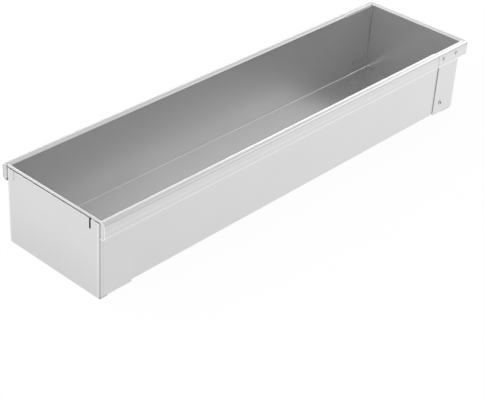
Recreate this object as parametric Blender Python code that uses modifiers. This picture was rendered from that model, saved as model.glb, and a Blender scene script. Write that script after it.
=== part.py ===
"""Long cheesecake pan in folded steel sheet, with one fixed end and one removable end.

The frame: +X runs along the pan to the fixed end, +Z is up, and the origin is on
the resting plane, under the middle of the pan.
"""
import math

import bmesh
import bpy
from mathutils import Matrix, Vector

# Driving dimensions, in metres
OVERALL_LENGTH = 0.600
CAVITY_WIDTH = 0.136
TROUGH_DEPTH = 0.091
SHEET = 0.001
LAP_GAP = 0.0003

# Folds, as radii of the middle of the sheet
FLOOR_FOLD = 0.0018
LIP_FOLD = 0.0015
RIM_FOLD = 0.0032
WALL_CORNER_FOLD = 0.0020
CAP_CORNER_FOLD = 0.0022
FLANGE_FOLD = 0.0010
HEM_GAP = 0.0002

# Hollow rim that is folded outward from the top of the walls
RIM_REACH = 0.0092
RIM_HEIGHT = 0.0195

# Share of a piece's distance outside a corner fold that goes into its own radius there
CORNER_SHARE = 0.2

# Flat bars inside the rim
BAR_EDGE_RADIUS = 0.0025

# Fixed end wall, at +X
WALL_FLAP_LENGTH = 0.039
WALL_FLANGE_DEPTH = 0.018
RIM_RETURN_LENGTH = 0.0528

# Removable end cap, at -X
CAP_DROP = 0.0032
CAP_FLAP_LENGTH = 0.0415
CAP_FLANGE_DEPTH = 0.010
NEAR_SLOT_INSET = 0.0108
NEAR_SLOT_WIDTH = 0.0024
FAR_SLOT_INSET = 0.0088
FAR_SLOT_WIDTH = 0.0005
CAP_SLOT_DEPTH = 0.0113

# Loose end plate that stands inside the cap
PLATE_HEM_HEIGHT = 0.0025

# Hems of the two flanges under the floor
FLANGE_HEM_LAP = 0.007

# Rivets
RIVET_SHANK_RADIUS = 0.0015
FLAP_RIVET_HEAD_RADIUS = 0.0030
RIM_RIVET_HEAD_RADIUS = 0.0024
RIVET_HEAD_HEIGHT = 0.0008
RIVET_TAIL_RADIUS = 0.0025
RIVET_TAIL_HEIGHT = 0.0004
FLAP_RIVET_SETBACK = 0.0265
FLAP_RIVET_HEIGHT = 0.0143
RIM_RIVET_END_INSET = 0.0105
RIM_RIVET_SPACING = 0.0250
RIM_RIVET_RISE = 0.0113
RIM_RIVET_BITE = 0.003

# Colours and roughness of the metals
SHEET_COLOUR = (0.80, 0.80, 0.80)
END_SHEET_COLOUR = (0.82, 0.82, 0.82)
BAR_COLOUR = (0.70, 0.70, 0.70)
RIVET_COLOUR = (0.62, 0.62, 0.62)
SHEET_ROUGHNESS = 0.34
END_SHEET_ROUGHNESS = 0.36
BAR_ROUGHNESS = 0.45
RIVET_ROUGHNESS = 0.40

# Overrun of every cutter past the face that it cuts
OVERRUN = 0.002

# Facets
FOLD_STEPS = 4
CORNER_STEPS = 5
RIVET_STEPS = 24
MERGE = 0.00001

# Levels and places that follow from the sizes above
HEM_THICKNESS = 2 * SHEET + HEM_GAP
HEM_RADIUS = (SHEET + HEM_GAP) / 2
UNDERSIDE = HEM_THICKNESS + LAP_GAP
RIM_TOP = UNDERSIDE + TROUGH_DEPTH
RIM_BOTTOM = RIM_TOP - RIM_HEIGHT
CAP_TOP = RIM_TOP - CAP_DROP
RIM_START = -OVERALL_LENGTH / 2
CAP_FACE = RIM_START + SHEET
CAVITY_START = CAP_FACE + LAP_GAP + HEM_THICKNESS
END_RIM_REACH = RIM_REACH - SHEET - LAP_GAP
CAVITY_END = OVERALL_LENGTH / 2 - END_RIM_REACH
TROUGH_START = CAVITY_START + LAP_GAP
TROUGH_END = CAVITY_END - LAP_GAP
RETURN_START = CAVITY_END - RIM_RETURN_LENGTH
WALL_INNER_Y = CAVITY_WIDTH / 2
WALL_OUTER_Y = WALL_INNER_Y + SHEET
LAP_INNER_Y = WALL_OUTER_Y + LAP_GAP
LAP_OUTER_Y = LAP_INNER_Y + SHEET
RIM_OUTER_Y = WALL_INNER_Y + RIM_REACH
BAR_INNER_Y = LAP_OUTER_Y + LAP_GAP
BAR_OUTER_Y = RIM_OUTER_Y - SHEET - LAP_GAP
WALL_CORNER_X = CAVITY_END + SHEET / 2 - WALL_CORNER_FOLD
WALL_CORNER_Y = LAP_INNER_Y + SHEET / 2 - WALL_CORNER_FOLD
CAP_CORNER_X = CAP_FACE - SHEET / 2 + CAP_CORNER_FOLD
CAP_CORNER_Y = LAP_INNER_Y + SHEET / 2 - CAP_CORNER_FOLD


def clear_scene():
    for item in list(bpy.data.objects):
        bpy.data.objects.remove(item, do_unlink=True)


def new_collection(name):
    collection = bpy.data.collections.new(name)
    bpy.context.scene.collection.children.link(collection)
    return collection


def metal(name, colour, roughness):
    material = bpy.data.materials.new(name)
    material.use_nodes = True
    shader = material.node_tree.nodes["Principled BSDF"]
    shader.inputs["Base Color"].default_value = (*colour, 1.0)
    shader.inputs["Metallic"].default_value = 1.0
    shader.inputs["Roughness"].default_value = roughness
    return material


def add_object(name, bm, material, collection):
    """Turn the finished mesh data into a named object of one material, or none for a cutter."""
    mesh = bpy.data.meshes.new(name)
    bm.to_mesh(mesh)
    bm.free()
    if material is not None:
        mesh.materials.append(material)
    item = bpy.data.objects.new(name, mesh)
    collection.objects.link(item)
    return item


def box_between(low, high):
    """A box with its lowest and highest corners at these places."""
    bm = bmesh.new()
    bmesh.ops.create_cube(bm, size=1)
    size = [top - bottom for bottom, top in zip(low, high)]
    centre = [(top + bottom) / 2 for bottom, top in zip(low, high)]
    bmesh.ops.scale(bm, verts=bm.verts, vec=size)
    bmesh.ops.translate(bm, verts=bm.verts, vec=centre)
    return bm


# Folding sheet metal

def rounded_path(corners, radii):
    """The corner points of a fold line, with an arc of the given radius at each inner one."""
    corners = [Vector(corner) for corner in corners]
    path = [corners[0]]
    for before, corner, after, radius in zip(corners, corners[1:], corners[2:], radii):
        to_before = (before - corner).normalized()
        to_after = (after - corner).normalized()
        half_angle = to_before.angle(to_after) / 2
        start = corner + to_before * radius / math.tan(half_angle)
        centre = corner + (to_before + to_after).normalized() * radius / math.sin(half_angle)
        sweep = (math.pi - 2 * half_angle) * (1 if to_before.cross(to_after) < 0 else -1)
        for step in range(FOLD_STEPS + 1):
            turn = Matrix.Rotation(sweep * step / FOLD_STEPS, 2)
            path.append(centre + turn @ (start - centre))
    path.append(corners[-1])
    return path


def chain_of_edges(bm, points):
    """A row of joined edges through the points."""
    verts = [bm.verts.new(point) for point in points]
    bmesh.ops.remove_doubles(bm, verts=verts, dist=MERGE)
    verts = [vert for vert in verts if vert.is_valid]
    return [bm.edges.new(pair) for pair in zip(verts, verts[1:])]


def extrude_edges(bm, edges, new_place):
    """Draw the edges out into faces, and return the edges at the far side."""
    result = bmesh.ops.extrude_edge_only(bm, edges=edges)["geom"]
    fresh = {part for part in result if isinstance(part, bmesh.types.BMVert)}
    for vert in fresh:
        vert.co = new_place(vert)
    return [part for part in result
            if isinstance(part, bmesh.types.BMEdge) and fresh.issuperset(part.verts)]


def run_edges(bm, edges, vector):
    return extrude_edges(bm, edges, lambda vert: vert.co + Vector(vector))


def corner_path(arm, angle, fold):
    """Places, seen from the axis of a corner fold, of a point that turns the corner."""
    reach = arm.length
    radius = fold + CORNER_SHARE * (reach - fold)
    ahead = arm.normalized()
    beside = Matrix.Rotation(angle, 3, "Z") @ ahead
    middle = (ahead + beside) * (reach - radius)
    steps = [angle * step / CORNER_STEPS for step in range(CORNER_STEPS + 1)]
    arc = [middle + Matrix.Rotation(turn, 3, "Z") @ ahead * radius for turn in steps]
    return arc + [beside * reach]


def turn_edges(bm, edges, centre, angle, fold):
    """Draw the edges round a vertical axis, for a fold at a corner of the pan."""
    arms = bm.verts.layers.float_vector.new("arm from the axis")
    axis = Vector(centre)
    for vert in {vert for edge in edges for vert in edge.verts}:
        vert[arms] = (vert.co - axis) * Vector((1, 1, 0))
    for step in range(CORNER_STEPS + 2):
        edges = extrude_edges(bm, edges, lambda vert: axis + Vector((0, 0, vert.co.z))
                              + corner_path(vert[arms], angle, fold)[step])
    bm.verts.layers.float_vector.remove(arms)
    return edges


def edges_between(edges, low, high):
    return [edge for edge in edges
            if all(low - MERGE < vert.co.z < high + MERGE for vert in edge.verts)]


def split_at(bm, edges, upright_x, levels):
    """Add a point to the upright edge of a chain at each level, and return all its edges."""
    for level in levels:
        for edge in list(edges):
            low, high = sorted(edge.verts, key=lambda vert: vert.co.z)
            upright = all(abs(vert.co.x - upright_x) < MERGE for vert in edge.verts)
            if upright and low.co.z < level - MERGE and high.co.z > level + MERGE:
                share = (level - low.co.z) / (high.co.z - low.co.z)
                fresh, _ = bmesh.utils.edge_split(edge, low, share)
                edges.append(fresh)
    return edges


def folded_sheet(name, bm, origin_x, material, collection):
    """Half a folded sheet, open at the middle plane: mirrored there and given its thickness."""
    bmesh.ops.remove_doubles(bm, verts=bm.verts, dist=MERGE)
    bmesh.ops.translate(bm, verts=bm.verts, vec=(-origin_x, 0, 0))
    bmesh.ops.recalc_face_normals(bm, faces=bm.faces)
    item = add_object(name, bm, material, collection)
    item.data.shade_smooth()
    item.location = (origin_x, 0, 0)
    mirror = item.modifiers.new("other half", "MIRROR")
    mirror.use_axis = (False, True, False)
    mirror.merge_threshold = MERGE
    wall = item.modifiers.new("sheet", "SOLIDIFY")
    wall.thickness = SHEET
    wall.offset = 0
    wall.use_even_offset = True
    return item


def rim_corners(wall_face, reach):
    """Corner points of the hollow rim, seen along it, on a wall with this inner face."""
    top = RIM_TOP - SHEET / 2
    bottom = RIM_BOTTOM + SHEET / 2
    outer = wall_face + reach - SHEET / 2
    tucked = wall_face + SHEET + LAP_GAP
    return [(wall_face + SHEET / 2, top), (outer, top), (outer, bottom), (tucked, bottom)]


def flange_corners(depth):
    """Corner points of a hemmed flange that turns inward, seen along it, with its wall at zero."""
    lower = SHEET / 2
    upper = lower + SHEET + HEM_GAP
    return [(FLANGE_HEM_LAP - depth, upper), (-depth, upper), (-depth, lower), (lower, lower)]


def widen_flange(bm, edges, from_y):
    """Run the flange under the floor on past the corner fold, as far as the trough is wide."""
    flange = edges_between(edges, 0, HEM_THICKNESS)
    run_edges(bm, flange, (0, WALL_OUTER_Y - from_y, 0))


# The pieces

def make_trough(material, collection):
    """Floor and two long walls in one sheet, each wall folded out into a hollow rim.

    The rims run on beside the end cap, as far as its face.
    """
    middle = WALL_INNER_Y + SHEET / 2
    floor = UNDERSIDE + SHEET / 2
    lip, top, bottom, tucked = rim_corners(WALL_INNER_Y, RIM_REACH)
    above_cap, below_cap = (BAR_INNER_Y, lip[1]), (BAR_INNER_Y, tucked[1])
    corners = [(0, floor), (middle, floor), lip, above_cap, top, bottom, below_cap, tucked]
    outline = rounded_path(corners, [FLOOR_FOLD, LIP_FOLD, 0, RIM_FOLD, RIM_FOLD, 0])
    bm = bmesh.new()
    edges = chain_of_edges(bm, [(TROUGH_START, y, z) for y, z in outline])
    beside_cap = [edge for edge in edges
                  if all(vert.co.y > BAR_INNER_Y - MERGE for vert in edge.verts)]
    run_edges(bm, beside_cap, (RIM_START - TROUGH_START, 0, 0))
    rim_length = RETURN_START - LAP_GAP - TROUGH_START
    edges = run_edges(bm, edges, (rim_length, 0, 0))
    plain = [edge for edge in edges if all(vert.co.y < middle + MERGE for vert in edge.verts)]
    wall_length = WALL_CORNER_X - TROUGH_START
    plain = run_edges(bm, plain, (wall_length - rim_length, 0, 0))
    flat = edges_between(plain, floor, floor)
    run_edges(bm, flat, (TROUGH_END - TROUGH_START - wall_length, 0, 0))
    return folded_sheet("trough", bm, 0, material, collection)


def make_end_wall(material, collection):
    """Fixed end: a wall with a flange under the floor, flaps and a rim that turns both corners."""
    middle = SHEET / 2
    corners = flange_corners(WALL_FLANGE_DEPTH) + rim_corners(0, END_RIM_REACH)
    radii = [HEM_RADIUS, HEM_RADIUS, FLANGE_FOLD, LIP_FOLD, RIM_FOLD, RIM_FOLD]
    outline = rounded_path(corners, radii)
    bm = bmesh.new()
    edges = chain_of_edges(bm, [(CAVITY_END + u, 0, z) for u, z in outline])
    edges = split_at(bm, edges, CAVITY_END + middle, [UNDERSIDE, RIM_BOTTOM])
    edges = run_edges(bm, edges, (0, WALL_CORNER_Y, 0))
    widen_flange(bm, edges, WALL_CORNER_Y)
    edges = [edge for edge in edges_between(edges, UNDERSIDE, RIM_TOP)
             if all(vert.co.x > CAVITY_END for vert in edge.verts)]
    corner = (WALL_CORNER_X, WALL_CORNER_Y, 0)
    edges = turn_edges(bm, edges, corner, math.pi / 2, WALL_CORNER_FOLD)
    flap_end_x = CAVITY_END - WALL_FLAP_LENGTH
    edges = run_edges(bm, edges, (flap_end_x - WALL_CORNER_X, 0, 0))
    above_flap = edges_between(edges, RIM_BOTTOM, RIM_TOP)
    run_edges(bm, above_flap, (RETURN_START - flap_end_x, 0, 0))
    return folded_sheet("end_wall", bm, 0, material, collection)


def make_end_cap(material, collection):
    """Removable end: a wall with a flange under the floor and a flap along each long wall."""
    middle = SHEET / 2
    corners = flange_corners(CAP_FLANGE_DEPTH) + [(middle, CAP_TOP)]
    outline = rounded_path(corners, [HEM_RADIUS, HEM_RADIUS, FLANGE_FOLD])
    flap_top = RIM_BOTTOM - LAP_GAP
    bm = bmesh.new()
    edges = chain_of_edges(bm, [(CAP_FACE - u, 0, z) for u, z in outline])
    edges = split_at(bm, edges, CAP_FACE - middle, [UNDERSIDE, flap_top])
    edges = run_edges(bm, edges, (0, CAP_CORNER_Y, 0))
    widen_flange(bm, edges, CAP_CORNER_Y)
    edges = [edge for edge in edges_between(edges, UNDERSIDE, CAP_TOP)
             if all(vert.co.x < CAP_FACE for vert in edge.verts)]
    corner = (CAP_CORNER_X, CAP_CORNER_Y, 0)
    edges = turn_edges(bm, edges, corner, -math.pi / 2, CAP_CORNER_FOLD)
    edges = run_edges(bm, edges, (CAVITY_START - CAP_CORNER_X, 0, 0))
    below_rim = edges_between(edges, UNDERSIDE, flap_top)
    run_edges(bm, below_rim, (CAP_FACE + CAP_FLAP_LENGTH - CAVITY_START, 0, 0))
    return folded_sheet("end_cap", bm, CAP_FACE, material, collection)


def make_end_plate(material, collection):
    """Loose plate between the cap and the trough, with a hemmed top edge over the cap's flaps."""
    middle = CAVITY_START - SHEET / 2
    hem_middle = middle - SHEET - HEM_GAP
    foot = SHEET + LAP_GAP
    top = RIM_TOP - SHEET / 2
    ear_bottom = CAP_TOP + LAP_GAP
    corners = [(middle, foot), (middle, top), (hem_middle, top),
               (hem_middle, RIM_TOP - PLATE_HEM_HEIGHT)]
    outline = rounded_path(corners, [HEM_RADIUS, HEM_RADIUS])
    bm = bmesh.new()
    edges = chain_of_edges(bm, [(x, 0, z) for x, z in outline])
    edges = split_at(bm, edges, middle, [UNDERSIDE, ear_bottom])
    foot_y = CAP_CORNER_Y - LAP_GAP
    edges = run_edges(bm, edges, (0, foot_y, 0))
    edges = run_edges(bm, edges_between(edges, UNDERSIDE, RIM_TOP), (0, WALL_OUTER_Y - foot_y, 0))
    above_cap = edges_between(edges, ear_bottom, RIM_TOP)
    run_edges(bm, above_cap, (0, LAP_OUTER_Y - WALL_OUTER_Y, 0))
    return folded_sheet("end_plate", bm, middle, material, collection)


def make_bar(name, low, high, along, material, collection):
    """Flat bar between two corners, with its long edges rounded."""
    bm = box_between(low, high)
    long_edges = []
    for edge in bm.edges:
        start, end = (vert.co for vert in edge.verts)
        if abs(start[along] - end[along]) > (high[along] - low[along]) / 2:
            long_edges.append(edge)
    bmesh.ops.bevel(bm, geom=long_edges, offset=BAR_EDGE_RADIUS, segments=FOLD_STEPS,
                    profile=0.5, affect="EDGES")
    return add_object(name, bm, material, collection)


def make_bars(material, collection):
    """A bar in each long rim, and one across in the rim of the fixed end."""
    low_z = RIM_BOTTOM + SHEET + LAP_GAP
    high_z = RIM_TOP - SHEET - LAP_GAP
    far = make_bar("far_rim_bar", (RIM_START, BAR_INNER_Y, low_z),
                   (WALL_CORNER_X, BAR_OUTER_Y, high_z), 0, material, collection)
    near = make_bar("near_rim_bar", (RIM_START, -BAR_OUTER_Y, low_z),
                    (WALL_CORNER_X, -BAR_INNER_Y, high_z), 0, material, collection)
    inner_x = CAVITY_END + SHEET + LAP_GAP
    outer_x = CAVITY_END + END_RIM_REACH - SHEET - LAP_GAP
    make_bar("end_rim_bar", (inner_x, -WALL_CORNER_Y, low_z),
             (outer_x, WALL_CORNER_Y, high_z), 1, material, collection)
    return far, near


def rivet_profile(head_radius, grip, tail_radius, tail_height):
    """Half section of a rivet from the top of its head to the end of its tail."""
    shank = RIVET_SHANK_RADIUS
    points = []
    for step in range(FOLD_STEPS + 1):
        angle = math.pi / 2 * step / FOLD_STEPS
        points.append((head_radius * math.sin(angle), RIVET_HEAD_HEIGHT * math.cos(angle)))
    points.append((shank, 0))
    points.append((shank, -grip))
    if tail_height > 0:
        points.append((tail_radius, -grip))
        points.append((tail_radius, -grip - tail_height))
    points.append((0, -grip - tail_height))
    return points


def make_rivet(name, profile, place, side, material, collection):
    """A rivet whose head faces away from the pan, on the far side (1) or the near side (-1)."""
    bm = bmesh.new()
    chain_of_edges(bm, [(radius, 0, z) for radius, z in profile])
    item = add_object(name, bm, material, collection)
    item.location = place
    item.rotation_euler = (-side * math.pi / 2, 0, 0)
    turned = item.modifiers.new("turned", "SCREW")
    turned.steps = RIVET_STEPS
    turned.render_steps = RIVET_STEPS
    turned.use_merge_vertices = True
    turned.merge_threshold = MERGE
    turned.use_smooth_shade = True
    return item


def make_hole_cutter(name, place, radius, length, cutters):
    """A round cutter that lies across the pan, centred on its place."""
    bm = bmesh.new()
    turn = Matrix.Translation(place) @ Matrix.Rotation(math.pi / 2, 4, "X")
    bmesh.ops.create_cone(bm, cap_ends=True, segments=RIVET_STEPS, radius1=radius,
                          radius2=radius, depth=length, matrix=turn)
    return add_cutter(name, bm, cutters)


def add_cutter(name, bm, cutters):
    item = add_object(name, bm, None, cutters)
    item.hide_render = True
    item.display_type = "WIRE"
    return item


def cut(item, cutter):
    hole = item.modifiers.new(cutter.name, "BOOLEAN")
    hole.operation = "DIFFERENCE"
    hole.solver = "EXACT"
    hole.object = cutter


def add_flap_rivet(name, side, trough, end_wall, material, collection, cutters):
    """The rivet that holds a flap of the fixed end to its long wall, with its holes."""
    x = CAVITY_END - FLAP_RIVET_SETBACK
    z = UNDERSIDE + FLAP_RIVET_HEIGHT
    seat = LAP_OUTER_Y + LAP_GAP
    grip = seat - WALL_INNER_Y + LAP_GAP
    profile = rivet_profile(FLAP_RIVET_HEAD_RADIUS, grip, RIVET_TAIL_RADIUS, RIVET_TAIL_HEIGHT)
    make_rivet(name, profile, (x, side * seat, z), side, material, collection)
    centre = (x, side * (WALL_INNER_Y + LAP_OUTER_Y) / 2, z)
    length = LAP_OUTER_Y - WALL_INNER_Y + 2 * OVERRUN
    radius = RIVET_SHANK_RADIUS + LAP_GAP
    cutter = make_hole_cutter(name + "_hole", centre, radius, length, cutters)
    cut(trough, cutter)
    cut(end_wall, cutter)


def add_rim_rivets(name, side, bar, end_wall, material, collection, cutters):
    """The two rivets that hold the returned rim of the fixed end to a long bar, with holes."""
    z = RIM_BOTTOM + RIM_RIVET_RISE
    seat = RIM_OUTER_Y + LAP_GAP
    grip = seat - BAR_OUTER_Y + RIM_RIVET_BITE
    profile = rivet_profile(RIM_RIVET_HEAD_RADIUS, grip, RIVET_SHANK_RADIUS, 0)
    first_x = RETURN_START + RIM_RIVET_END_INSET
    bottom = BAR_OUTER_Y - RIM_RIVET_BITE - LAP_GAP
    top = RIM_OUTER_Y + OVERRUN
    radius = RIVET_SHANK_RADIUS + LAP_GAP
    for number in (1, 2):
        x = first_x + RIM_RIVET_SPACING * (number - 1)
        label = f"{name}_{number}"
        make_rivet(label, profile, (x, side * seat, z), side, material, collection)
        centre = (x, side * (top + bottom) / 2, z)
        cutter = make_hole_cutter(label + "_hole", centre, radius, top - bottom, cutters)
        cut(bar, cutter)
        cut(end_wall, cutter)


def cut_cap_slots(cap, cutters):
    """The two short slots in the top edge of the cap, near its corners."""
    low_x = CAP_FACE - SHEET - OVERRUN
    high_x = CAP_FACE + OVERRUN
    bottom = CAP_TOP - CAP_SLOT_DEPTH
    top = CAP_TOP + OVERRUN
    far_y = WALL_INNER_Y - FAR_SLOT_INSET
    far = box_between((low_x, far_y - FAR_SLOT_WIDTH, bottom), (high_x, far_y, top))
    near_y = NEAR_SLOT_INSET - WALL_INNER_Y
    near = box_between((low_x, near_y, bottom), (high_x, near_y + NEAR_SLOT_WIDTH, top))
    cut(cap, add_cutter("far_slot", far, cutters))
    cut(cap, add_cutter("near_slot", near, cutters))


def main():
    clear_scene()
    pan = new_collection("long_cheesecake_pan")
    cutters = new_collection("cutters")
    body_steel = metal("satin steel sheet", SHEET_COLOUR, SHEET_ROUGHNESS)
    end_steel = metal("satin steel end sheet", END_SHEET_COLOUR, END_SHEET_ROUGHNESS)
    bar_steel = metal("plain bar steel", BAR_COLOUR, BAR_ROUGHNESS)
    rivet_steel = metal("rivet steel", RIVET_COLOUR, RIVET_ROUGHNESS)
    trough = make_trough(body_steel, pan)
    end_wall = make_end_wall(body_steel, pan)
    end_cap = make_end_cap(end_steel, pan)
    make_end_plate(end_steel, pan)
    far_bar, near_bar = make_bars(bar_steel, pan)
    add_flap_rivet("near_flap_rivet", -1, trough, end_wall, rivet_steel, pan, cutters)
    add_flap_rivet("far_flap_rivet", 1, trough, end_wall, rivet_steel, pan, cutters)
    add_rim_rivets("near_rim_rivet", -1, near_bar, end_wall, rivet_steel, pan, cutters)
    add_rim_rivets("far_rim_rivet", 1, far_bar, end_wall, rivet_steel, pan, cutters)
    cut_cap_slots(end_cap, cutters)


main()
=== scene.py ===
import math

import bmesh
import bpy
from mathutils import Matrix, Vector


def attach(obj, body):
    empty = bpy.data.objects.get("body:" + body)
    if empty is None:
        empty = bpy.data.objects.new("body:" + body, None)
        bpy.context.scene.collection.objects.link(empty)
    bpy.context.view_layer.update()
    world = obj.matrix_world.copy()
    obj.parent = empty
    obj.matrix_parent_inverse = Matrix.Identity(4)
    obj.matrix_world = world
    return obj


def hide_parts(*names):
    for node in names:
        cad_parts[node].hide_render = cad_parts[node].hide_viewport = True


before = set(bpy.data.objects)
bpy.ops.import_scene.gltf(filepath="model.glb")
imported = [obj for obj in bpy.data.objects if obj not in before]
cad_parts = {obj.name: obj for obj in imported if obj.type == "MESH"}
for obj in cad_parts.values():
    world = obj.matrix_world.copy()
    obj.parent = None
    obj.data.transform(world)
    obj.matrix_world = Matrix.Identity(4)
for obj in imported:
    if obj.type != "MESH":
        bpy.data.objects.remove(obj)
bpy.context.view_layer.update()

# Driving sizes of the pan, in metres, as in the solids
OVERALL_LENGTH = 0.600
CAVITY_WIDTH = 0.136
TROUGH_DEPTH = 0.091
SHEET = 0.001
LAP_GAP = 0.0003

# Folds, as radii of the middle of the sheet, and the gap inside a hem
FLOOR_FOLD = 0.0018
LIP_FOLD = 0.0015
RIM_FOLD = 0.0032
WALL_CORNER_FOLD = 0.0020
CAP_CORNER_FOLD = 0.0022
FLANGE_FOLD = 0.0010
HEM_GAP = 0.0002

# Hollow rim and the flat bars inside it
RIM_REACH = 0.0092
RIM_HEIGHT = 0.0195
RIM_JOINT_GAP = 0.0008
RIM_SLOPE = math.radians(7.5)
RIM_CROWN_FOLD = 0.014
BAR_FIT = 0.0001
BAR_END_ROUND = 0.0009

# Share of a piece's distance outside a corner fold that goes into its own radius there
CORNER_SHARE = 0.2

# Fixed end wall, at +X
WALL_FLAP_LENGTH = 0.039
WALL_FLANGE_DEPTH = 0.018
RIM_RETURN_LENGTH = 0.0528

# Removable end cap, at -X; the face fit keeps it within the pan's length
FACE_FIT = 0.00001
CAP_DROP = 0.0032
CAP_FLAP_LENGTH = 0.0415
CAP_FLANGE_DEPTH = 0.010
NEAR_SLOT_INSET = 0.0108
NEAR_SLOT_WIDTH = 0.0024
FAR_SLOT_INSET = 0.0088
FAR_SLOT_WIDTH = 0.0005
CAP_SLOT_DEPTH = 0.0113
CREASE_DEPTH = 0.00045
CREASE_ANGLE = math.radians(62)
CREASE_SPREAD = math.radians(13)

# Loose end plate and the hems
PLATE_HEM_HEIGHT = 0.0025
FLANGE_HEM_LAP = 0.007

# Rivets; the flare widens the mouth of the bore in a flap rivet's head
RIVET_SHANK_RADIUS = 0.0015
FLAP_RIVET_HEAD_RADIUS = 0.0030
RIM_RIVET_HEAD_RADIUS = 0.0024
RIVET_HEAD_HEIGHT = 0.0008
RIVET_TAIL_RADIUS = 0.0025
RIVET_TAIL_HEIGHT = 0.0004
FLAP_RIVET_SETBACK = 0.0265
FLAP_RIVET_HEIGHT = 0.0143
RIM_RIVET_END_INSET = 0.0105
RIM_RIVET_SPACING = 0.0250
RIM_RIVET_RISE = 0.0113
RIM_RIVET_BITE = 0.003
RIVET_BORE_SHARE = 0.48
RIVET_BORE_FLARE = 1.12
RIVET_BORE_DEPTH = 0.0012
RIVET_SEED = 4

# Finish of the meshes; the merging distance is also the tolerance of a level, and a cutter
# passes what it cuts by the overrun
FOLD_STEPS = 10
CORNER_STEPS = 12
RIVET_STEPS = 40
EDGE_ROUND = 0.00008
EDGE_STEPS = 2
CAP_EDGE_ROUND = 0.0004
ROUND_STEPS = 4
ROUND_PROFILE = 0.5
MERGE = 0.000001
OVERRUN = 0.002
SHARP_ANGLE = math.radians(38)
DEBUR_ANGLE = math.radians(60)

# Levels and places that follow from the sizes above
HEM_THICKNESS = 2 * SHEET + HEM_GAP
HEM_RADIUS = (SHEET + HEM_GAP) / 2
UNDERSIDE = HEM_THICKNESS + LAP_GAP
RIM_TOP = UNDERSIDE + TROUGH_DEPTH
RIM_BOTTOM = RIM_TOP - RIM_HEIGHT
CAP_TOP = RIM_TOP - CAP_DROP
RIM_START = -OVERALL_LENGTH / 2
CAP_FACE = RIM_START + SHEET + FACE_FIT
CAVITY_START = CAP_FACE + LAP_GAP + HEM_THICKNESS
END_RIM_REACH = RIM_REACH - SHEET - LAP_GAP
CAVITY_END = OVERALL_LENGTH / 2 - END_RIM_REACH
TROUGH_START = CAVITY_START + LAP_GAP
TROUGH_END = CAVITY_END - LAP_GAP
RETURN_START = CAVITY_END - RIM_RETURN_LENGTH
WALL_INNER_Y = CAVITY_WIDTH / 2
WALL_OUTER_Y = WALL_INNER_Y + SHEET
LAP_INNER_Y = WALL_OUTER_Y + LAP_GAP
LAP_OUTER_Y = LAP_INNER_Y + SHEET
RIM_OUTER_Y = WALL_INNER_Y + RIM_REACH
BAR_INNER_Y = LAP_OUTER_Y + LAP_GAP
BAR_OUTER_Y = RIM_OUTER_Y - SHEET - LAP_GAP
WALL_CORNER_X = CAVITY_END + SHEET / 2 - WALL_CORNER_FOLD
WALL_CORNER_Y = LAP_INNER_Y + SHEET / 2 - WALL_CORNER_FOLD
CAP_CORNER_X = CAP_FACE - SHEET / 2 + CAP_CORNER_FOLD
CAP_CORNER_Y = LAP_INNER_Y + SHEET / 2 - CAP_CORNER_FOLD

# Camera at the photo's angle
CAMERA_AZIMUTH = math.radians(-48.88134)
CAMERA_HEIGHT_ANGLE = math.radians(32.92259)
CAMERA_ROLL = math.radians(3.69247)
CAMERA_PLACE = Vector((-1.02472, -0.88077, 0.82718))
CAMERA_LENS = 101.79
CAMERA_SENSOR = 36.0
CAMERA_REACH = 100.0

# Satin sheet: its tone, roughness and metal share, and what its inside and its cut edges gain
# or have instead
SHEET_TONE = 0.74
# Painted shade: the inside of the pan has a darker tone than its outside
INSIDE_SHADED_TONE = 0.63
# Painted highlight: the cut edges gain a lighter tone
CUT_EDGE_HIGHLIGHT_GAIN = 0.17
SHEET_ROUGHNESS = 0.28
INSIDE_ROUGHNESS_GAIN = -0.05
CUT_EDGE_ROUGHNESS_GAIN = 0.06
INSIDE_METAL = 0.80
CUT_EDGE_METAL = 0.45

# Patterns on the flat sheet, each with its waves a metre (along, across and through the sheet,
# or one number for all three), its detail and its roughness
GRAIN_PATTERN = ((5.0, 900.0, 1.0), 3.0, 0.65)
STREAK_PATTERN = ((1.2, 55.0, 1.0), 2.0, 0.5)
RUB_PATTERN = ((38.0, 260.0, 1.0), 4.0, 0.7)
BOW_PATTERN = ((9.0, 14.0, 1.0), 1.0, 0.4)
CLOUD_PATTERN = (16.0, 3.0, 0.55)

# How strongly the patterns show
NOISE_RANGE = (0.3, 0.7)
CLOUD_SHARE = 0.6
TONE_SWING = 0.010
GLOSS_SWING = 0.007
RUB_RANGE = (0.60, 0.72)
RUB_TONE_GAIN = 0.015
RUB_ROUGHNESS_GAIN = 0.04
BOW_STRENGTH = 0.15
BOW_DEPTH = 0.003
GRAIN_STRENGTH = 0.014
GRAIN_DEPTH = 0.00002

# Lines of painted highlight and painted shade on the sheets: offset from the corner fold, the
# flap or the rim's foot, half width and change of tone, which is full over the core of the line
LINE_CORE_SHARE = 0.4
CORNER_SHINE = (-0.0002, 0.0012, 0.12)
CREASE_SHADE = (0.00176, 0.0009, -0.22)
FLAP_SHADE = (0.0016, 0.0008, -0.05)
RIM_EDGE_SHINE = (0.0023, 0.0019, 0.17)
RIM_LOW_SHADE = (0.0056, 0.0010, -0.01)
RIM_RIDGE_SHINE = (0.0093, 0.0016, 0.04)
RIM_HIGH_SHADE = (0.0120, 0.0015, -0.01)

# Plain steel: tone, roughness, waves a metre of its mottling, and metal share
BAR_FINISH = (0.66, 0.40, 900.0, 0.45)
RIVET_FINISH = (0.70, 0.32, 1500.0, 1.0)

# Mottling and specks of plain steel: detail and roughness of the noise, and how they show
MOTTLE_DETAIL = (4.0, 0.6)
MOTTLE_TONES = (-0.05, 0.04)
MOTTLE_GLOSS = (-0.06, 0.08)
MOTTLE_STRENGTH = 0.3
MOTTLE_DEPTH = 0.0001
SPECK_WAVE_RATIO = 2.3
SPECK_DETAIL = (2.0, 0.5)
SPECK_RANGE = (0.62, 0.72)
SPECK_STRENGTH = 0.5
SPECK_TONE_SHARE = 0.6

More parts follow.
